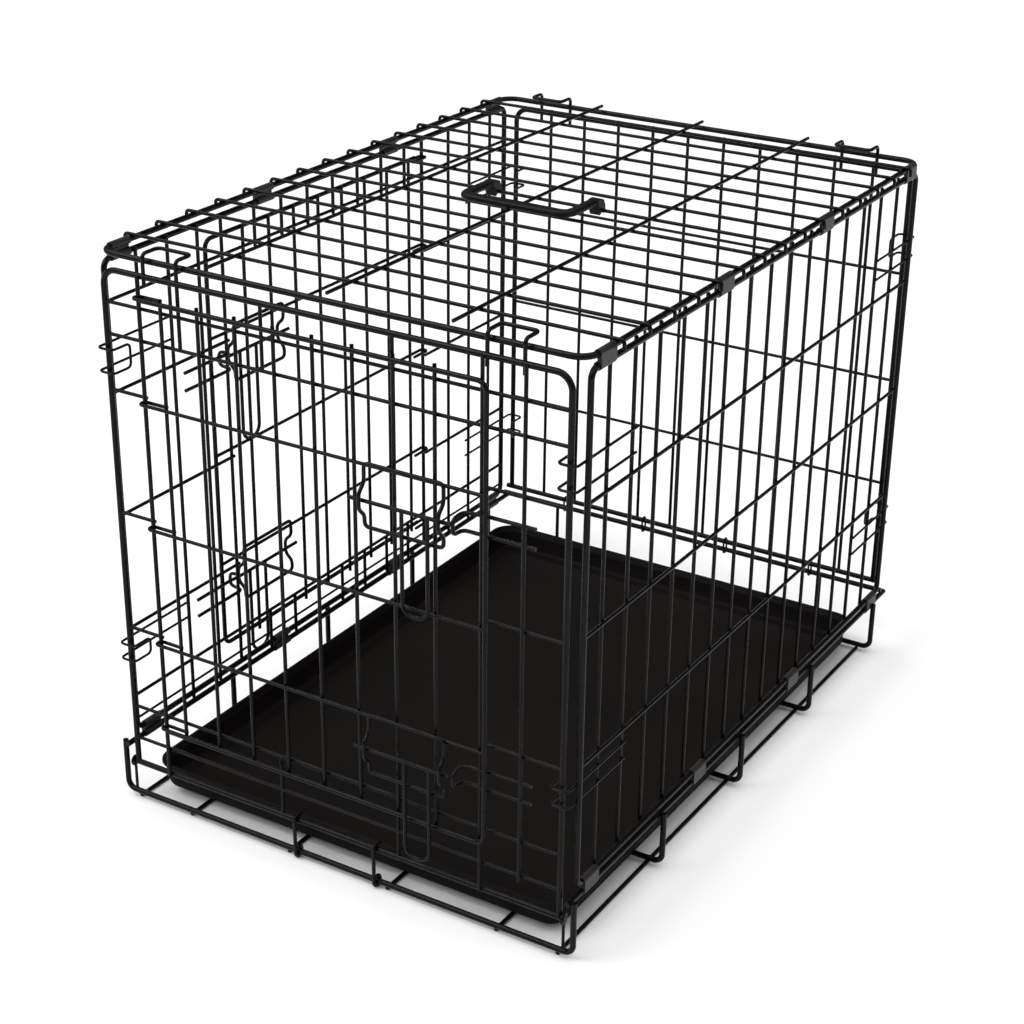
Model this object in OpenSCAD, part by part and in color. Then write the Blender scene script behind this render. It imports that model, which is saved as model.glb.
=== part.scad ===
// Folding wire crate: a rod base, four hinged grille panels, a top, two doors with slide bolts,
// and a plastic floor tray. Origin at the centre of the crate's footprint, on the floor.
// +Z is up, the front door faces -Y and the side door faces -X. Millimetres.

/* [Crate] */
// Width across the top frame, between wire centres
crate_w = 442; // [420:1:560]
// Length along the top frame, between wire centres
crate_l = 610; // [560:1:760]
// Height of the top frame's wire centre above the floor
crate_h = 497; // [480:1:620]

/* [Wire] */
// Diameter of the wire in the frames and rails
frame_d = 5; // [4:0.1:5]
// Diameter of the upright wires
upright_d = 3.2; // [2.5:0.1:3.2]
// Diameter of the level wires
level_d = 3; // [2.6:0.1:3.1]
// Diameter of the wire in the corner catches
catch_d = 2.2; // [1.8:0.1:2.4]
// Diameter of the wire in the bolts and keepers
bolt_d = 3.2; // [3:0.1:3.4]
// Diameter of the hinge-side door post
post_d = 3.6; // [3.2:0.1:3.8]
// Running clearance between a hinge and the wire inside it
fit = 0.08; // [0.04:0.01:0.1]
// How far welded wires sink into each other
weld = 0.3; // [0.2:0.05:0.4]

/* [Panels] */
// Gaps between the uprights of a long side
side_gaps = 16; // [14:1:18]
// Height of the base's side rail
rail_z = 52; // [48:1:60]
// Spacing of the two wires that a hinge clip holds
clip_pitch = 9; // [9:0.5:12]
// Length of a hinge clip
clip_len = 22; // [16:1:24]
// Height of the front panel's bottom rail
front_foot_z = 36; // [36:1:40]
// Height of the back panel's bottom rail
back_foot_z = 66; // [66:1:70]
// Gaps between the uprights of the back panel
back_gaps = 11; // [9:1:13]

/* [Doors] */
// Width of a door from its hinge post to its latch rail
door_w = 322; // [300:1:326]
// Height of a door between its rails
door_h = 386; // [360:1:388]
// Height of a door's bottom rail
door_z = 83; // [80:1:86]
// Uprights in a door
door_bars = 8; // [6:1:9]

/* [Tray] */
// Gap from the tray's lip to the crate's side
tray_side_gap = 13; // [12:1:30]
// Gap from the tray's lip to the crate's front
tray_front_gap = 5; // [4:1:12]
// Gap from the tray's lip to the crate's back
tray_back_gap = 17; // [15:1:60]
// Wall thickness of the tray
tray_wall = 2; // [1.6:0.2:3]

/* [Handle] */
// Length of the handle's grip bar
grip_l = 112; // [80:1:130]
// Width of the handle's grip bar
grip_w = 13; // [10:1:18]
// Thickness of the handle
grip_t = 6; // [4:0.5:8]
// Distance from the wire that the handle is clipped to, to the middle of its grip bar
grip_reach = 50; // [44:1:58]

/* [Hidden] */

wire_colour = [0.10, 0.10, 0.10];
clip_colour = [0.30, 0.27, 0.26];
plastic_colour = [0.09, 0.08, 0.07];

frame_r = frame_d / 2;
upright_r = upright_d / 2;
level_r = level_d / 2;
catch_r = catch_d / 2;
bolt_r = bolt_d / 2;
post_r = post_d / 2;

half_w = crate_w / 2;
half_l = crate_l / 2;
pitch = crate_l / side_gaps;

// The long wires lie on the floor and the cross wires lie on them.
long_d = 3.6;
long_flat = 0.1;
long_z = long_d / 2 - long_flat;
floor_z = long_z + long_d / 2 + frame_r - weld / 2;
floor_half_w = half_w + frame_d - weld;

// A side panel turns on its bottom rail, and the top turns on its top rail.
side_foot_z = rail_z + clip_pitch;
side_top_z = crate_h - clip_pitch;
side_end_y = half_l - 4.5;
side_bar_x = half_w - (frame_r + upright_r - weld);
side_level_x = side_bar_x + upright_r + level_r - weld;
side_post_x = side_level_x + level_r + post_r - weld;

// The end panels stand just outside the top and pass between the side panels.
end_y = half_l + 6;
end_half_w = side_bar_x - upright_r - frame_r - 0.7;
end_top_z = crate_h - 11;
end_bar_y = end_y + (frame_r + upright_r - weld);
end_level_y = end_bar_y - (upright_r + level_r - weld);
front_post_y = end_y + level_r + post_r - weld;
floor_front_y = end_y + 0.5;

// A door hangs outside its hinge post. Distances are from the post's centre, outwards.
hinge_bend_r = post_r + fit + level_r;
door_frame_d = 4;
door_frame_out = hinge_bend_r + 0.7;
door_bar_out = hinge_bend_r - (upright_r + level_r - weld / 2);
door_top_z = door_z + door_h;
door_levels = [164.5, 271, 380.5];
bracket_out = hinge_bend_r + level_r + bolt_r - weld;
bolt_out = bracket_out + 2 * bolt_r + 0.4;
arch_out = bolt_out + 2 * bolt_r + 0.5;

front_hinge_x = -half_w + 46;
front_latch_x = front_hinge_x + door_w - 6;
side_hinge_y = (door_w - 17) / 2;
side_latch_y = -side_hinge_y;

// Levels of the panels' wires
side_strip_z = [161, 267, 376];
side_head_z = door_top_z - 15;
side_sill_z = door_z + 12;
front_strip_z = [169, 276, 384.5];
front_head_z = [door_top_z - 37, door_top_z - 10];
front_sill_z = [61, door_z + 9.5];
back_strip_z = [172, 280, 387];
right_strip_z = [167, 277, 385];

top_cross_z = crate_h + frame_r + level_r - weld;
top_long_z = top_cross_z + 2 * level_r - weld;
hook_top_z = crate_h + 7.5;

tray_floor_z = floor_z + frame_r + 0.4;
tray_top_z = front_foot_z - frame_r - 0.7;
tray_w = crate_w - 2 * tray_side_gap;
tray_l = crate_l - tray_front_gap - tray_back_gap;
tray_front_y = -half_l + tray_front_gap;

// ---------------------------------------------------------------- wire helpers

function unit(v) = v / norm(v);

// A straight rod from a to b
module rod(a, b, d) {
    v = b - a;
    translate(a)
        rotate([0, acos(v.z / norm(v)), atan2(v.y, v.x)])
            cylinder(d = d, h = norm(v), $fn = 24);
}

// How much a bend of radius r at corner b takes off each of its legs
function bend_cut(a, b, c, r) =
    let (half = acos(unit(a - b) * unit(c - b)) / 2) r / tan(half);

// The bend of radius r at corner b between the legs towards a and c
module bend(a, b, c, d, r) {
    u = unit(a - b);
    w = unit(c - b);
    half = acos(u * w) / 2;
    centre = b + unit(u + w) * r / sin(half);
    ex = unit(b + u * r / tan(half) - centre);
    ez = unit(cross(ex, unit(b + w * r / tan(half) - centre)));
    ey = cross(ez, ex);
    multmatrix([
        [ex.x, ey.x, ez.x, centre.x],
        [ex.y, ey.y, ez.y, centre.y],
        [ex.z, ey.z, ez.z, centre.z],
        [0, 0, 0, 1]
    ])
        rotate_extrude(angle = 180 - 2 * half, $fn = 48)
            translate([r, 0])
                circle(d = d, $fn = 24);
}

// A bent wire through the points, with every inner corner rounded to radius r
module wire(points, d, r) {
    last = len(points) - 1;
    cuts = [for (i = [0:last])
        (i == 0 || i == last) ? 0 : bend_cut(points[i - 1], points[i], points[i + 1], r)];
    for (i = [0:last - 1]) {
        along = unit(points[i + 1] - points[i]);
        rod(points[i] + along * cuts[i], points[i + 1] - along * cuts[i + 1], d);
    }
    for (i = [1:last - 1])
        bend(points[i - 1], points[i], points[i + 1], d, r);
}

// A closed wire loop through the points
module ring_wire(points, d, r) {
    n = len(points);
    cuts = [for (i = [0:n - 1])
        bend_cut(points[(i + n - 1) % n], points[i], points[(i + 1) % n], r)];
    for (i = [0:n - 1]) {
        j = (i + 1) % n;
        along = unit(points[j] - points[i]);
        rod(points[i] + along * cuts[i], points[j] - along * cuts[j], d);
        bend(points[(i + n - 1) % n], points[i], points[j], d, r);
    }
}

// A sheet clip rolled round two wires, clip_pitch apart in Z, along Y from its centre
module hinge_clip(fixed_at_top) {
    outer_r = frame_r + fit + 0.8;
    rotate([90, 0, 0])
        linear_extrude(clip_len, center = true)
            difference() {
                union() {
                    for (z = [0, clip_pitch])
                        translate([0, z])
                            circle(r = outer_r, $fn = 48);
                    translate([-outer_r, 0])
                        square([2 * outer_r - 3, clip_pitch]);
                }
                translate([0, fixed_at_top ? 0 : clip_pitch])
                    circle(r = frame_r + fit, $fn = 48);
                translate([0, fixed_at_top ? clip_pitch : 0])
                    circle(r = frame_r, $fn = 48);
            }
}

// A wire link round two rails that lie along X, clip_pitch apart in Z
module link_ring(x, y, low_z) {
    link_d = 2;
    r = frame_r + fit + link_d / 2;
    for (side = [-1, 1])
        rod([x, y + side * r, low_z], [x, y + side * r, low_z + clip_pitch], link_d);
    for (up = [0, 1])
        translate([x, y, low_z + up * clip_pitch])
            rotate([0, 90, 0])
                rotate([0, 0, up == 1 ? 90 : -90])
                    rotate_extrude(angle = 180, $fn = 48)
                        translate([r, 0])
                            circle(d = link_d, $fn = 24);
}

// ---------------------------------------------------------------- base

// The long wires are worn flat underneath, where they stand on the floor.
module base_long_wires() color(wire_colour)
    difference() {
        long_wires();
        translate([-crate_w, -crate_l, -long_d])
            cube([2 * crate_w, 2 * crate_l, long_d]);
    }

module long_wires() {
    for (side = [-1, 1]) {
        rod([side * (half_w - 9), -floor_front_y, long_z],
            [side * (half_w - 9), half_l - 22, long_z], long_d);
        wire([[side * (half_w - 66), -floor_front_y, long_z],
              [side * (half_w - 66), end_y + 2, long_z],
              [side * (half_w - 66), end_y + 2, back_foot_z - clip_pitch]], long_d, 8);
        rod([side * 50, -floor_front_y, long_z], [side * 50, half_l - 22, long_z], long_d);
    }
}

module base_floor_wires() color(wire_colour) {
    step = (half_l - 22 + floor_front_y) / 4;
    for (i = [0:4]) {
        y = -floor_front_y + i * step;
        wire([[-floor_half_w, y, rail_z + 2], [-floor_half_w, y, floor_z],
              [floor_half_w, y, floor_z], [floor_half_w, y, rail_z + 2]], frame_d, 8);
    }
}

module base_rails() color(wire_colour) {
    for (side = [-1, 1])
        rod([side * half_w, -floor_front_y - 3, rail_z], [side * half_w, end_y + 9.5, rail_z], frame_d);
    rod([-half_w - 1, end_y, back_foot_z - clip_pitch], [half_w + 1, end_y, back_foot_z - clip_pitch],
        frame_d);
}

clip_y = [for (f = [-1, -0.338, 0.338, 1]) f * (half_l - 24)];

module base_clips() color(clip_colour)
    for (y = clip_y) {
        translate([-half_w, y, rail_z]) hinge_clip(false);
        translate([half_w, y, rail_z]) mirror([1, 0, 0]) hinge_clip(false);
    }

ring_wire_r = 1.3;

// Rings on posts from the front floor wire, in which the front panel's bottom rail turns
module front_pivot_rings() color(wire_colour)
    for (side = [-1, 1])
        translate([side * (end_half_w + frame_r + ring_wire_r + 0.3), 0, 0]) {
            ring_r = frame_r + fit + ring_wire_r;
            translate([0, -end_y, front_foot_z])
                rotate([0, 90, 0])
                    rotate_extrude($fn = 48)
                        translate([ring_r, 0])
                            circle(r = ring_wire_r, $fn = 24);
            rod([0, -end_y, floor_z], [0, -end_y, front_foot_z - ring_r], 2 * ring_wire_r);
        }

module back_link_rings() color(wire_colour)
    for (x = [-144, -48, 48, 144])
        link_ring(x, end_y, back_foot_z - clip_pitch);

// ---------------------------------------------------------------- tray

module tray_outline(grow) {
    corner_r = 22;
    translate([0, tray_front_y + tray_l / 2])
        rounded_plate(tray_w + 2 * grow, tray_l + 2 * grow, corner_r + grow);
}

// A rectangle with true round corners
module rounded_plate(w, l, r) {
    square([w, l - 2 * r], center = true);
    square([w - 2 * r, l], center = true);
    for (sx = [-1, 1], sy = [-1, 1])
        translate([sx * (w / 2 - r), sy * (l / 2 - r)])
            circle(r = r, $fn = 48);
}

module tray() color(plastic_colour) {
    lip = 5;
    step_h = 5;
    difference() {
        union() {
            translate([0, 0, tray_floor_z])
                linear_extrude(tray_top_z - tray_floor_z)
                    tray_outline(-lip);
            translate([0, 0, tray_top_z - 3])
                linear_extrude(3)
                    tray_outline(0);
            translate([0, 0, tray_top_z - 3 - step_h])
                linear_extrude(step_h + 1)
                    tray_outline(-lip / 2);
        }
        translate([0, 0, tray_floor_z + tray_wall])
            linear_extrude(tray_top_z)
                tray_outline(-lip - tray_wall);
    }
}

// ---------------------------------------------------------------- pan hooks

module pan_hook(x) color(wire_colour) {
    hook_r = 1.6;
    eye_r = frame_r + fit + hook_r;
    tip_z = front_foot_z + frame_r + hook_r + 0.6;
    translate([x, 0, 0]) {
        translate([0, -floor_front_y, floor_z])
            rotate([0, 90, 0])
                rotate([0, 0, -90])
                    rotate_extrude(angle = 290, $fn = 48)
                        translate([eye_r, 0])
                            circle(r = hook_r, $fn = 24);
        wire([[0, -floor_front_y - eye_r, floor_z], [0, -floor_front_y - eye_r, tip_z],
              [0, -end_y + 5, tip_z]], 2 * hook_r, 3);
    }
}

module pan_hook_left() pan_hook(-40);
module pan_hook_right() pan_hook(40);

// ---------------------------------------------------------------- side panels

module side_frame(side) color(wire_colour)
    ring_wire([for (c = [[-1, side_foot_z], [1, side_foot_z], [1, side_top_z], [-1, side_top_z]])
        [side * half_w, c[0] * side_end_y, c[1]]], frame_d, 8);

module side_upright(side, y, low_z, high_z)
    rod([side * side_bar_x, y, low_z], [side * side_bar_x, y, high_z], upright_d);

// Hairpins welded to the outer uprights, whose noses reach round the end panel's edge wire
module catches(side) color(wire_colour) {
    arm_x = side * (side_bar_x + upright_r + catch_r - weld);
    nose_x = side * (end_half_w - 8);
    for (c = [[-1, 400, 420], [-1, 139, 153.5], [1, 406, 424], [1, 131, 148]]) {
        post_y = c[0] * (half_l - 2 * pitch - 2);
        nose_y = c[0] * (end_y + 5);
        back_y = c[0] * (end_y - 16);
        wire([[arm_x, post_y, c[1]], [arm_x, nose_y, c[1]], [nose_x, nose_y, c[1]],
              [nose_x, back_y, c[1]], [nose_x, back_y, c[2]], [nose_x, nose_y, c[2]],
              [arm_x, nose_y, c[2]], [arm_x, post_y, c[2]]], catch_d, 4);
    }
}

module left_frame() side_frame(-1);
module right_frame() side_frame(1);
module left_catches() catches(-1);
module right_catches() catches(1);

tip = 2.5;

module left_verticals() color(wire_colour) {
    for (i = [1:3], end = [-1, 1])
        side_upright(-1, end * (half_l - pitch * i), side_foot_z - tip, side_top_z + tip);
    rod([-side_post_x, side_hinge_y, side_foot_z - 1], [-side_post_x, side_hinge_y, side_top_z + 1], post_d);
    rod([-side_post_x, side_latch_y, side_foot_z - 1],
        [-side_post_x, side_latch_y, side_top_z + 1], upright_d);
}

// Short uprights below and above the side doorway, spaced between its two posts
module left_stubs() color(wire_colour)
    for (i = [1:7]) {
        y = side_latch_y + i * (side_hinge_y - side_latch_y) / 8;
        side_upright(-1, y, side_foot_z - tip, side_sill_z + tip);
        side_upright(-1, y, side_head_z - tip, side_top_z + tip);
    }

module left_horizontals() color(wire_colour) {
    for (z = [side_sill_z, side_head_z])
        rod([-side_level_x, -side_end_y, z], [-side_level_x, side_end_y, z], level_d);
    for (z = side_strip_z)
        for (s = [-1, 1])
            rod([-side_level_x, s * side_hinge_y, z], [-side_level_x, s * side_end_y, z], level_d);
    rod([-side_level_x, -side_end_y, side_foot_z + 11], [-side_level_x, side_end_y, side_foot_z + 11],
        catch_d);
}

module right_verticals() color(wire_colour)
    for (i = [1:side_gaps - 1])
        side_upright(1, -half_l + pitch * i, side_foot_z - tip, side_top_z + tip);

module right_horizontals() color(wire_colour)
    for (z = right_strip_z)
        rod([side_level_x, -side_end_y, z], [side_level_x, side_end_y, z], level_d);

// ---------------------------------------------------------------- top

module top_frame() color(wire_colour)
    ring_wire([for (c = [[-1, -1], [1, -1], [1, 1], [-1, 1]])
        [c[0] * half_w, c[1] * half_l, crate_h]], frame_d, 15);

module top_cross_wires() color(wire_colour)
    for (i = [1:side_gaps - 1]) {
        y = -half_l + pitch * i;
        wire([[-half_w - 6, y, top_cross_z - 7], [-half_w - 6, y, top_cross_z],
              [half_w + 7, y, top_cross_z], [half_w + 7, y, top_cross_z - 7]], level_d, 3);
    }

module top_long_wires() color(wire_colour)
    for (x = [-half_w / 2, 0, half_w / 2])
        rod([x, -half_l, top_long_z], [x, half_l, top_long_z], level_d);

module top_clips() color(clip_colour)
    for (y = clip_y) {
        translate([-half_w, y, side_top_z]) hinge_clip(true);
        translate([half_w, y, side_top_z]) mirror([1, 0, 0]) hinge_clip(true);
    }

// A flat bow whose two bosses are bored for the middle cross wire. It lies folded forwards.
module handle() color(plastic_colour) translate([0, 0, top_cross_z]) {
    low_z = top_long_z + level_r + 0.5 - top_cross_z;
    boss_r = 5.5;
    arm_w = 10;
    mid_x = 5;
    arm_x = grip_l / 2 - arm_w / 2;
    difference() {
        translate([mid_x, 0, 0])
            union() {
                translate([-grip_l / 2 + grip_w / 2, -grip_reach - grip_w / 2, low_z])
                    cube([grip_l - grip_w, grip_w, grip_t]);
                for (side = [-1, 1]) {
                    translate([side * (grip_l - grip_w) / 2, -grip_reach, low_z])
                        cylinder(d = grip_w, h = grip_t, $fn = 48);
                    translate([side * arm_x - arm_w / 2, -grip_reach, low_z])
                        cube([arm_w, grip_reach, grip_t]);
                    translate([side * arm_x - arm_w / 2, 0, 0])
                        rotate([0, 90, 0])
                            cylinder(r = boss_r, h = arm_w, $fn = 48);
                    translate([side * arm_x - arm_w / 2, -boss_r, 0])
                        cube([arm_w, boss_r, low_z + grip_t]);
                }
            }
        rotate([0, 90, 0])
            cylinder(r = level_r + fit, h = crate_w, center = true, $fn = 32);
    }
}

// ---------------------------------------------------------------- end panels

module end_frame(y, foot_z) color(wire_colour) {
    foot_half_w = end_half_w + frame_r + 2 * ring_wire_r + 0.6;
    rod([-foot_half_w, y, foot_z], [foot_half_w, y, foot_z], frame_d);
    wire([[-end_half_w, y, foot_z], [-end_half_w, y, end_top_z], [end_half_w, y, end_top_z],
          [end_half_w, y, foot_z]], frame_d, 13);
}

// A loop from the end panel's top wire, bent in over the top frame
module top_hook(x_low, x_high, end, low_z_left, low_z_right) {
    y = end * end_y;
    inner_y = end * (half_l - 13);
    wire([[x_low, y, low_z_left], [x_low, y, hook_top_z], [x_low, inner_y, hook_top_z],
          [x_high, inner_y, hook_top_z], [x_high, y, hook_top_z], [x_high, y, low_z_right]],
         upright_d, 4);
}

module front_frame() end_frame(-end_y, front_foot_z);

module front_verticals() color(wire_colour) {
    rod([front_hinge_x, -front_post_y, front_foot_z - 1],
        [front_hinge_x, -front_post_y, end_top_z + 1], post_d);
    rod([front_latch_x, -front_post_y, front_foot_z - 1],
        [front_latch_x, -front_post_y, end_top_z + 1], upright_d);
    rod([front_latch_x + 36, -front_post_y, 57], [front_latch_x + 36, -front_post_y, end_top_z + 1],
        upright_d);
}

module front_horizontals() color(wire_colour) {
    for (z = concat(front_sill_z, front_head_z))
        rod([-end_half_w, -end_y, z], [end_half_w, -end_y, z], level_d);
    for (z = front_strip_z) {
        rod([-end_half_w, -end_y, z], [front_hinge_x, -end_y, z], level_d);
        rod([front_latch_x, -end_y, z], [end_half_w, -end_y, z], level_d);
    }
}

// U-shaped stiffeners above and below the doorway
module front_staples() color(wire_colour) {
    y = -end_y;
    for (x = [-58, 61.7])
        rod([x, y, front_head_z[0]], [x, y, end_top_z + 2], level_d);
    wire([[-55, y, front_foot_z - 2], [-55, y, front_sill_z[1] + 1], [61.7, y, front_sill_z[1] + 1],
          [61.7, y, front_foot_z - 2]], level_d, 6);
}

module front_top_hooks() color(wire_colour) {
    top_hook(front_hinge_x + 4, front_hinge_x + 37, -1, end_top_z - 8, front_head_z[0]);
    top_hook(half_w - 78, half_w - 47, -1, end_top_z - 8, end_top_z - 8);
}

module back_frame() end_frame(end_y, back_foot_z);

back_pitch = 2 * end_half_w / back_gaps;

module back_verticals() color(wire_colour)
    for (i = [1:back_gaps - 1])
        rod([-end_half_w + back_pitch * i, end_bar_y, back_foot_z - tip],
            [-end_half_w + back_pitch * i, end_bar_y, end_top_z + tip], upright_d);

module back_horizontals() color(wire_colour)
    for (z = back_strip_z)
        rod([-end_half_w, end_level_y, z], [end_half_w, end_level_y, z], level_d);

module back_top_hooks() color(wire_colour) {
    top_hook(-183, -150, 1, end_top_z - 8, end_top_z - 8);
    top_hook(143, 178, 1, end_top_z - 8, end_top_z - 8);
}

// ---------------------------------------------------------------- doors
// A door is drawn with its hinge post on the Z axis, its width along +X and its outside at -Y.

module at_front_door() translate([front_hinge_x, -front_post_y, 0]) children();
module at_side_door() translate([-side_post_x, side_hinge_y, 0]) rotate([0, 0, -90]) children();

module door_frame() color(wire_colour) {
    y = -door_frame_out;
    wire([[6, y, door_z], [door_w, y, door_z], [door_w, y, door_top_z], [6, y, door_top_z]],
         door_frame_d, 8);
}

module door_bars_set() color(wire_colour) {
    bar_pitch = (door_w - 32) / door_bars;
    for (i = [0:door_bars - 1])
        rod([22 + bar_pitch * i, -door_bar_out, door_z - 3], [22 + bar_pitch * i, -door_bar_out, door_top_z + 3],
            upright_d);
}

// Level wires whose ends are curled round the hinge post
module door_hinges() color(wire_colour)
    for (z = concat([door_z], door_levels, [door_top_z])) {
        rim = z == door_z || z == door_top_z;
        reach = rim ? 30 : door_w;
        rod([0, -hinge_bend_r, z], [reach, -hinge_bend_r, z], level_d);
        rod([0, hinge_bend_r, z], [20, hinge_bend_r, z], level_d);
        translate([0, 0, z])
            rotate([0, 0, 90])
                rotate_extrude(angle = 180, $fn = 48)
                    translate([hinge_bend_r, 0])
                        circle(d = level_d, $fn = 24);
    }

bolt_z = [door_z + 55, door_top_z - 115];
bracket_x = [door_w - 106, door_w - 35];

// Wire rings on the door, whose sides arch outwards and guide a bolt
module latch_brackets() color(wire_colour)
    for (z = bolt_z) {
        y = -bracket_out;
        low_z = z - 23;
        high_z = z + 29;
        for (x = bracket_x)
            wire([[x, y, low_z - 1], [x, y, z - 10], [x, -arch_out, z - 10], [x, -arch_out, z + 10],
                  [x, y, z + 10], [x, y, high_z + 1]], bolt_d, 3);
        for (rim_z = [low_z, high_z])
            rod([bracket_x[0] - 2, y + 0.4, rim_z], [bracket_x[1] + 2, y + 0.4, rim_z], bolt_d - 0.2);
    }

// A sliding rod with a finger loop
module bolt(z) color(wire_colour) {
    y = -bolt_out;
    loop_x = [door_w - 70, door_w - 47];
    loop_z = z - 86;
    rod([door_w - 118, y, z], [door_w - 28, y, z], bolt_d);
    wire([[loop_x[0], y, z], [loop_x[0], y, loop_z], [loop_x[1], y, loop_z], [loop_x[1], y, z]],
         bolt_d, 10);
}

// Staples welded on the panel's latch post. They reach out between the door's bars, and the
// bolts' tips slide behind them.
keeper_x = door_w - 22;

module keepers() color(wire_colour)
    for (z = bolt_z)
        wire([[door_w + 40, 0.3, z + 9], [keeper_x, 0.3, z + 9], [keeper_x, -arch_out, z + 9],
              [keeper_x, -arch_out, z - 7], [keeper_x, 0.3, z - 7], [door_w + 40, 0.3, z - 7]],
             bolt_d, 3);

module front_door_frame() at_front_door() door_frame();
module front_door_bars() at_front_door() door_bars_set();
module front_door_hinges() at_front_door() door_hinges();
module front_latch_brackets() at_front_door() latch_brackets();
module front_upper_bolt() at_front_door() bolt(bolt_z[1]);
module front_lower_bolt() at_front_door() bolt(bolt_z[0]);
module front_keepers() at_front_door() keepers();
module side_door_frame() at_side_door() door_frame();
module side_door_bars() at_side_door() door_bars_set();
module side_door_hinges() at_side_door() door_hinges();
module side_latch_brackets() at_side_door() latch_brackets();
module side_upper_bolt() at_side_door() bolt(bolt_z[1]);
module side_lower_bolt() at_side_door() bolt(bolt_z[0]);
module left_keepers() at_side_door() keepers();

base_long_wires();
base_floor_wires();
base_rails();
base_clips();
front_pivot_rings();
back_link_rings();
tray();
pan_hook_left();
pan_hook_right();
left_frame();
left_verticals();
left_stubs();
left_horizontals();
left_keepers();
left_catches();
right_frame();
right_verticals();
right_horizontals();
right_catches();
top_frame();
top_cross_wires();
top_long_wires();
top_clips();
handle();
front_frame();
front_verticals();
front_horizontals();
front_staples();
front_keepers();
front_top_hooks();
front_door_frame();
front_door_bars();
front_door_hinges();
front_latch_brackets();
front_upper_bolt();
front_lower_bolt();
side_door_frame();
side_door_bars();
side_door_hinges();
side_latch_brackets();
side_upper_bolt();
side_lower_bolt();
back_frame();
back_verticals();
back_horizontals();
back_top_hooks();
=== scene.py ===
# %% [markdown]
# # A folding wire crate
# The crate is five welded wire grilles on a wire base, with a moulded tray inside. The frame file
# holds every wire at its true size and place. This lesson loads it, gives each kind of surface
# its own finish, and rebuilds the pieces whose real shape is softer than a plain solid.

# %% Load the frame
import math
import bmesh
import bpy
from mathutils import Matrix, Vector


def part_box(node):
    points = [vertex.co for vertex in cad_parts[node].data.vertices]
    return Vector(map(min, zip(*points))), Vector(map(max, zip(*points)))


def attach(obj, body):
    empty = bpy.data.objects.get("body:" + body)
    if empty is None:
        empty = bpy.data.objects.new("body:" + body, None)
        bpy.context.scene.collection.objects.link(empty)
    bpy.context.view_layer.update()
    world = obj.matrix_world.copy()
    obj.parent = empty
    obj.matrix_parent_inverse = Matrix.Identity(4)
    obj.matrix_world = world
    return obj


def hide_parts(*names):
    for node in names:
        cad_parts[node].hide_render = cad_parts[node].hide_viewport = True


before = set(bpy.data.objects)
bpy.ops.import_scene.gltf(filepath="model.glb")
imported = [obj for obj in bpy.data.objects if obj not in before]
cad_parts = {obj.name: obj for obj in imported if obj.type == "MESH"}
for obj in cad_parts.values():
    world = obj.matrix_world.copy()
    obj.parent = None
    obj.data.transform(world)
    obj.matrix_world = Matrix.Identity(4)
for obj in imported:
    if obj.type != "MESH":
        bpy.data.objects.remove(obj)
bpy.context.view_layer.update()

MM = 0.001

# %% [markdown]
# ## The camera
# A long lens far from the crate keeps its upright wires nearly parallel. The camera stands to the
# front right, looks down about 25 degrees, and is rolled by less than a degree. Its axes are built
# from those angles, because a matrix of right, up and back is what Blender calls an object's pose.

# %% Camera
CAMERA_PLACE = Vector((0.8669, -1.4697, 0.9964))
TURN, DOWN, ROLL = (math.radians(a) for a in (31.21, 24.80, 0.743))
FIELD_OF_VIEW = math.radians(27.75)

forward = Vector((-math.sin(TURN) * math.cos(DOWN), math.cos(TURN) * math.cos(DOWN), -math.sin(DOWN)))
level_right = Vector((math.cos(TURN), math.sin(TURN), 0))
level_up = level_right.cross(forward)
right = math.cos(ROLL) * level_right + math.sin(ROLL) * level_up
up = math.cos(ROLL) * level_up - math.sin(ROLL) * level_right

lens = bpy.data.cameras.new("view")
lens.sensor_width = 36
lens.angle = FIELD_OF_VIEW
lens.clip_start, lens.clip_end = 0.05, 50
camera = bpy.data.objects.new("view", lens)
bpy.context.scene.collection.objects.link(camera)
axes = Matrix((right, up, -forward)).transposed().to_4x4()
camera.matrix_world = Matrix.Translation(CAMERA_PLACE) @ axes
bpy.context.scene.camera = camera
print("camera is", round(CAMERA_PLACE.length, 3), "m from the crate's foot")

# %% [markdown]
# ## Light and floor
# Black wire reflects whatever stands round it, so a white room would turn it grey. The world is
# therefore white only where the camera looks straight at it, and dim for every reflection. A very
# wide sun, like an overcast sky seen through a ceiling window, keeps the pale floor even with soft
# shadows, and two large lamps put a thin streak along the tops of the rods.

# %% Light and floor
def soft_lamp(name, place, aim, size, watts):
    lamp = bpy.data.lights.new(name, "AREA")
    lamp.shape = "SQUARE"
    lamp.size = size
    lamp.energy = watts
    holder = bpy.data.objects.new(name, lamp)
    holder.location = place
    holder.rotation_euler = (Vector(aim) - Vector(place)).to_track_quat("-Z", "Y").to_euler()
    bpy.context.scene.collection.objects.link(holder)


soft_lamp("key", (-1.4, -1.6, 2.6), (0, 0, 0.25), 1.2, 22)
soft_lamp("fill", (2.4, 0.4, 2.2), (0, 0, 0.25), 1.5, 14)

sky = bpy.data.lights.new("sky", "SUN")
sky.energy = 3.3
sky.angle = math.radians(100)
sky_holder = bpy.data.objects.new("sky", sky)
sky_holder.rotation_euler = (math.radians(12), math.radians(-14), 0)
bpy.context.scene.collection.objects.link(sky_holder)

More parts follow.
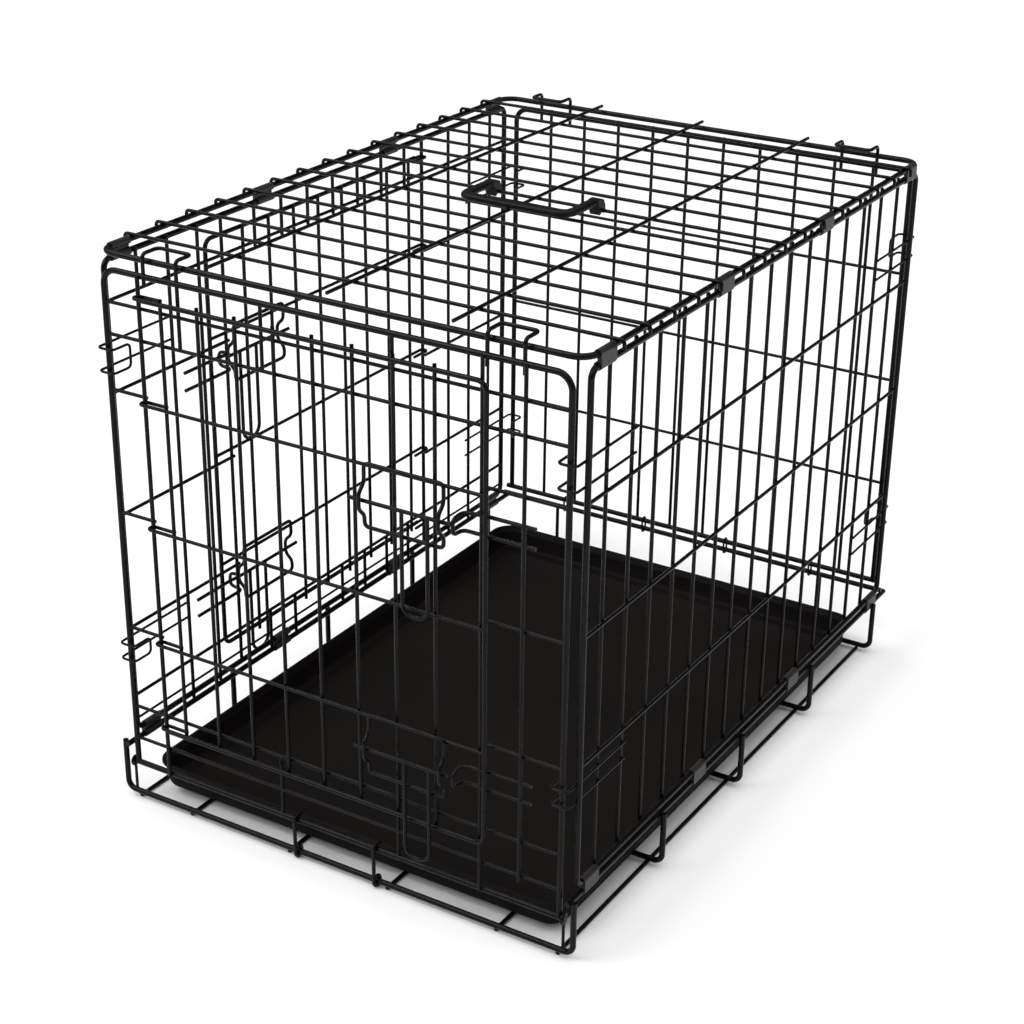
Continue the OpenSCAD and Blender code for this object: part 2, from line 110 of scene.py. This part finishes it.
world = bpy.data.worlds.new("studio")
world.use_nodes = True
backdrop = world.node_tree.nodes["Background"]
backdrop.inputs["Color"].default_value = (1, 1, 1, 1)
seen = world.node_tree.nodes.new("ShaderNodeLightPath")
strength = world.node_tree.nodes.new("ShaderNodeMapRange")
strength.inputs["To Min"].default_value = 0.10
strength.inputs["To Max"].default_value = 1.0
world.node_tree.links.new(seen.outputs["Is Camera Ray"], strength.inputs["Value"])
world.node_tree.links.new(strength.outputs["Result"], backdrop.inputs["Strength"])
bpy.context.scene.world = world
bpy.context.scene.view_settings.view_transform = "Standard"

floor_mesh = bpy.data.meshes.new("studio_floor")
REACH = 14
floor_mesh.from_pydata([(-REACH, -REACH, 0), (REACH, -REACH, 0), (REACH, REACH, 0), (-REACH, REACH, 0)],
                       [], [(0, 1, 2, 3)])
studio_floor = bpy.data.objects.new("studio_floor", floor_mesh)
bpy.context.scene.collection.objects.link(studio_floor)
paper = bpy.data.materials.new("white_paper")
paper.use_nodes = True
paper.node_tree.nodes["Principled BSDF"].inputs["Base Color"].default_value = (0.93, 0.93, 0.93, 1)
paper.node_tree.nodes["Principled BSDF"].inputs["Roughness"].default_value = 0.9
floor_mesh.materials.append(paper)
print("floor is", 2 * REACH, "m across")

# %% [markdown]
# ## Finishes
# Four finishes cover the crate: dipped black wire, rolled sheet clips, a grained tray and a
# smoother moulded handle. Each one is a small node tree with the same plan: a slow noise shifts
# the colour and the gloss a little, and a fine one makes a bump. The helper takes the numbers
# that tell one finish from another, so that the four stay easy to compare.

# %% A finish
def finish(name, dark, light, gloss, grain, bump, patch=9.0, dents=0.0, specular=0.13):
    made = bpy.data.materials.new(name)
    made.use_nodes = True
    tree = made.node_tree
    shader = tree.nodes["Principled BSDF"]
    place = tree.nodes.new("ShaderNodeTexCoord")

    def noise(scale, detail):
        node = tree.nodes.new("ShaderNodeTexNoise")
        node.inputs["Scale"].default_value = scale
        node.inputs["Detail"].default_value = detail
        tree.links.new(place.outputs["Object"], node.inputs["Vector"])
        return node

    slow, fine = noise(patch, 3), noise(grain, 4)
    tone = tree.nodes.new("ShaderNodeValToRGB")
    tone.color_ramp.elements[0].position = 0.35
    tone.color_ramp.elements[0].color = (*dark, 1)
    tone.color_ramp.elements[1].position = 0.68
    tone.color_ramp.elements[1].color = (*light, 1)
    tree.links.new(slow.outputs["Fac"], tone.inputs["Fac"])
    tree.links.new(tone.outputs["Color"], shader.inputs["Base Color"])

    sheen = tree.nodes.new("ShaderNodeMapRange")
    sheen.inputs["From Min"].default_value = 0.3
    sheen.inputs["From Max"].default_value = 0.7
    sheen.inputs["To Min"].default_value = gloss[0]
    sheen.inputs["To Max"].default_value = gloss[1]
    tree.links.new(fine.outputs["Fac"], sheen.inputs["Value"])
    tree.links.new(sheen.outputs["Result"], shader.inputs["Roughness"])

    relief = tree.nodes.new("ShaderNodeBump")
    relief.inputs["Strength"].default_value = bump
    relief.inputs["Distance"].default_value = 0.0004
    tree.links.new(fine.outputs["Fac"], relief.inputs["Height"])
    if dents:
        waves = tree.nodes.new("ShaderNodeBump")
        waves.inputs["Strength"].default_value = dents
        waves.inputs["Distance"].default_value = 0.0015
        tree.links.new(slow.outputs["Fac"], waves.inputs["Height"])
        tree.links.new(waves.outputs["Normal"], relief.inputs["Normal"])
    tree.links.new(relief.outputs["Normal"], shader.inputs["Normal"])
    shader.inputs["Specular IOR Level"].default_value = specular
    return made


dipped_wire = finish("dipped_wire", (0.0016, 0.0015, 0.0015), (0.0042, 0.0039, 0.0037), (0.20, 0.36),
                     900, 0.25, patch=30, dents=0.12)
rolled_sheet = finish("rolled_sheet", (0.010, 0.009, 0.0085), (0.024, 0.021, 0.020), (0.34, 0.52),
                      700, 0.25, patch=45, dents=0.25, specular=0.3)
grained_tray = finish("grained_tray", (0.0030, 0.0020, 0.0016), (0.0052, 0.0036, 0.0029), (0.50, 0.70),
                      1400, 0.55, patch=6, specular=0.09)
moulded_handle = finish("moulded_handle", (0.0025, 0.0024, 0.0023), (0.0060, 0.0056, 0.0053), (0.32, 0.48),
                        1100, 0.3, patch=22)
print("finishes:", len(bpy.data.materials))

# %% Put the wire and sheet finishes on the frame
for name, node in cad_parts.items():
    surface = rolled_sheet if name.endswith("_clips") else dipped_wire
    node.data.materials.clear()
    node.data.materials.append(surface)

# %% [markdown]
# ## Helpers for shaping
# Two ways of making a surface do most of the work. A loft joins rings of points that have the same
# count, which suits the tray and the handle. A tube sweeps a circle along a path, which suits wire.

# %% Loft and tube
SHARP_EDGE = math.radians(38)


def link_mesh(name, bm, surface, body):
    bmesh.ops.recalc_face_normals(bm, faces=bm.faces)
    mesh = bpy.data.meshes.new(name)
    bm.to_mesh(mesh)
    bm.free()
    mesh.materials.append(surface)
    mesh.shade_smooth()
    mesh.set_sharp_from_angle(angle=SHARP_EDGE)
    piece = bpy.data.objects.new(name, mesh)
    bpy.context.scene.collection.objects.link(piece)
    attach(piece, body)
    return piece


def loft(bm, rings):
    rows = [[bm.verts.new(p) for p in ring] for ring in rings]
    for low, high in zip(rows, rows[1:]):
        for i in range(len(low)):
            j = (i + 1) % len(low)
            bm.faces.new((low[i], low[j], high[j], high[i]))
    bm.faces.new(rows[0][::-1])
    bm.faces.new(rows[-1])


def round_rectangle(half_x, half_y, corner, steps=10):
    points = []
    for quarter in range(4):
        sx, sy = ((1, 1), (-1, 1), (-1, -1), (1, -1))[quarter]
        for k in range(steps + 1):
            a = math.radians(90 * quarter + 90 * k / steps)
            points.append((sx * (half_x - corner) + corner * math.cos(a),
                           sy * (half_y - corner) + corner * math.sin(a)))
    return points


def soften(points, radius, steps=6):
    points = [Vector(p) for p in points]
    path = [points[0]]
    for before, corner, after in zip(points, points[1:], points[2:]):
        a, b = (before - corner), (after - corner)
        reach = min(radius, a.length * 0.49, b.length * 0.49)
        start, end = corner + a.normalized() * reach, corner + b.normalized() * reach
        for k in range(steps + 1):
            t = k / steps
            path.append(start * (1 - t) ** 2 + corner * 2 * t * (1 - t) + end * t ** 2)
    path.append(points[-1])
    return path


def tube(bm, path, radius, sides=12):
    side = None
    rings = []
    for i, point in enumerate(path):
        along = (path[min(i + 1, len(path) - 1)] - path[max(i - 1, 0)]).normalized()
        if side is None:
            side = along.orthogonal().normalized()
        side = (side - along * side.dot(along)).normalized()
        other = along.cross(side)
        rings.append([point + radius * (math.cos(a) * side + math.sin(a) * other)
                      for a in (2 * math.pi * k / sides for k in range(sides))])
    loft(bm, rings)


# %% [markdown]
# ## The tray
# The real tray is a thin vacuum-formed pan: its wall leans a little, steps out near the top, and
# ends in a rolled lip, and the floor has a shallow moulded border. A loft of rounded rectangles
# follows that section all the way round, so the corners stay true arcs.

# %% Tray
tray_low, tray_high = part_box("tray")
tray_mid_y = (tray_low.y + tray_high.y) / 2
tray_half = ((tray_high.x - tray_low.x) / 2, (tray_high.y - tray_low.y) / 2)
TRAY_CORNER = 22 * MM
tray_rise = tray_high.z - tray_low.z

# Each step is how far in from the tray's edge, and how high up its rise
TRAY_SECTION = [(9, 0.0), (7, 0.03), (6, 0.10), (5.2, 0.66), (3.2, 0.70), (2.6, 0.73), (2.2, 0.84),
                (0.5, 0.87), (0, 0.90), (0, 0.955), (0.5, 0.985), (1.4, 1.0), (3.0, 1.0),
                (3.9, 0.97), (4.4, 0.90), (5.6, 0.85), (6.4, 0.80), (7.0, 0.74), (8.6, 0.20), (10, 0.12),
                (12.5, 0.09), (17, 0.08), (19, 0.105), (22, 0.115), (25, 0.105), (27, 0.08), (60, 0.085)]


def tray_ring(inset, height):
    corner = max(TRAY_CORNER - inset * MM, 5 * MM)
    outline = round_rectangle(tray_half[0] - inset * MM, tray_half[1] - inset * MM, corner)
    return [(x, y + tray_mid_y, tray_low.z + height * tray_rise) for x, y in outline]


tray_bm = bmesh.new()
loft(tray_bm, [tray_ring(inset, height) for inset, height in TRAY_SECTION])
tray_pan = link_mesh("tray_pan", tray_bm, grained_tray, "tray")
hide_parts("tray")
print("tray:", len(tray_pan.data.polygons), "faces")

# %% [markdown]
# ## The carry handle
# The handle is one moulded bow that lies folded forwards on the wires. Its grip is a flat bar with
# rounded edges, a little wider in the middle. Two arms lead back to wedges, and each wedge snaps
# over the middle cross wire with a slot below. A sweep makes the bow, and a loft along X each wedge.

# %% Handle
handle_low, handle_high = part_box("handle")
WIRE_Z = handle_low.z + 5.5 * MM
WEDGE_W = 10 * MM
left_x, right_x = handle_low.x + WEDGE_W / 2, handle_high.x - WEDGE_W / 2
grip_y = handle_low.y + 6.5 * MM
bow_z = handle_high.z - 2.8 * MM


def sweep_flat(bm, path, half_widths, half_thick):
    rings = []
    for i, (point, half_width) in enumerate(zip(path, half_widths)):
        along = (path[min(i + 1, len(path) - 1)] - path[max(i - 1, 0)]).normalized()
        across = Vector((-along.y, along.x, 0))
        rings.append([point + u * across + Vector((0, 0, v))
                      for u, v in round_rectangle(half_width, half_thick, half_thick * 0.8, steps=4)])
    loft(bm, rings)


bow = soften([(left_x, -2 * MM, bow_z), (left_x, grip_y, bow_z), (right_x, grip_y, bow_z),
              (right_x, -2 * MM, bow_z)], 11 * MM, steps=10)
grip_at = len(bow) // 2
middle = [bow[grip_at - 1].lerp(bow[grip_at], k / 8) for k in range(1, 8)]
bow = bow[:grip_at] + middle + bow[grip_at:]
bow_mid_x = (left_x + right_x) / 2
bow_widths = [(4.6 + 1.7 * max(0, 1 - abs(p.x - bow_mid_x) / (50 * MM)) ** 0.5) * MM for p in bow]
handle_bm = bmesh.new()
sweep_flat(handle_bm, bow, bow_widths, 2.7 * MM)

# The wedge seen from its end: its outside from the back of the slot round to the front, as places
# along Y and above the wire in millimetres, and then the bore from front to back
WEDGE = [(-4.2, -3.4), (-5.4, -0.5), (-5.4, 4.4), (-8.5, 5.2), (-8.5, 9.6), (-6.5, 10.4), (-1.5, 10.4),
         (2.2, 9.0), (4.7, 4.4), (5.3, 0.0), (4.2, -3.4)]
BORE = [(1.62 * math.cos(math.radians(a)), 1.62 * math.sin(math.radians(a))) for a in range(-50, 231, 20)]
for wedge_x in (left_x, right_x):
    rings = []
    for along, size in ((-0.5, 0.96), (-0.44, 1.0), (0.44, 1.0), (0.5, 0.96)):
        rings.append([(wedge_x + along * WEDGE_W, y * size * MM, WIRE_Z + z * size * MM)
                      for y, z in WEDGE + BORE])
    loft(handle_bm, rings)
carry_handle = link_mesh("carry_handle", handle_bm, moulded_handle, "handle")
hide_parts("handle")
print("handle:", len(carry_handle.data.polygons), "faces")

# %% [markdown]
# ## Latch wires
# Each latch has a bracket on the door, a closed ring whose two sides swell outwards to guide the
# bolt, and a keeper on the panel, a long staple with a rounded nose. Real wire is bent over a
# former and has no square corners, so both are swept again here with soft bends. Places are in a
# door's own frame: X runs from its hinge post to its latch rail, and Y points into the crate.

# %% Brackets and keepers
BRACKET_OUT, ARCH_OUT = 6.18, 13.48
BRACKET_X = (216, 287)
BOLT_Z = (138, 354)
WIRE_R = 1.6
BRACKET_BEND, KEEPER_BEND = 4.5 * MM, 5 * MM


# Where each door's hinge post stands, in millimetres along X and Y
FRONT_POST = (-175, -314)
SIDE_POST = (-223, 152.5)


def front_place(x, y, z):
    return Vector((FRONT_POST[0] + x, FRONT_POST[1] + y, z)) * MM


def side_place(x, y, z):
    return Vector((SIDE_POST[0] + y, SIDE_POST[1] - x, z)) * MM


def bracket_path(place, z):
    low_z, high_z, y = z - 23, z + 29, -BRACKET_OUT
    (x0, x1), mid_x = BRACKET_X, sum(BRACKET_X) / 2
    right_side = [(x1, y, high_z), (x1, y, z + 13), (x1, -ARCH_OUT, z + 7), (x1, -ARCH_OUT, z - 7),
                  (x1, y, z - 13), (x1, y, low_z)]
    left_side = [(x0, py, pz) for _, py, pz in reversed(right_side)]
    corners = [(mid_x, y, high_z), *right_side, *left_side, (mid_x, y, high_z)]
    return soften([place(*corner) for corner in corners], BRACKET_BEND)


def keeper_path(place, z):
    corners = [(362, 0.3, z + 9), (318, 0.3, z + 9), (300, 0.0, z + 7.5), (299.6, -ARCH_OUT, z + 6.5),
               (299.6, -ARCH_OUT, z - 6), (300, 0.3, z - 7), (362, 0.3, z - 7)]
    return soften([place(*corner) for corner in corners], KEEPER_BEND)


for place, door, panel, node_start, keeper_node in (
        (front_place, "front_door", "front_panel", "front", "front_keepers"),
        (side_place, "side_door", "left_side", "side", "left_keepers")):
    for name, path_of, body, node in (
            ("bracket_wires", bracket_path, door, node_start + "_latch_brackets"),
            ("keeper_wires", keeper_path, panel, keeper_node)):
        wires = bmesh.new()
        for z in BOLT_Z:
            tube(wires, path_of(place, z), WIRE_R * MM)
        piece = link_mesh(node_start + "_" + name, wires, dipped_wire, body)
        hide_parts(node)
        print(piece.name, "has", len(piece.data.polygons), "faces")
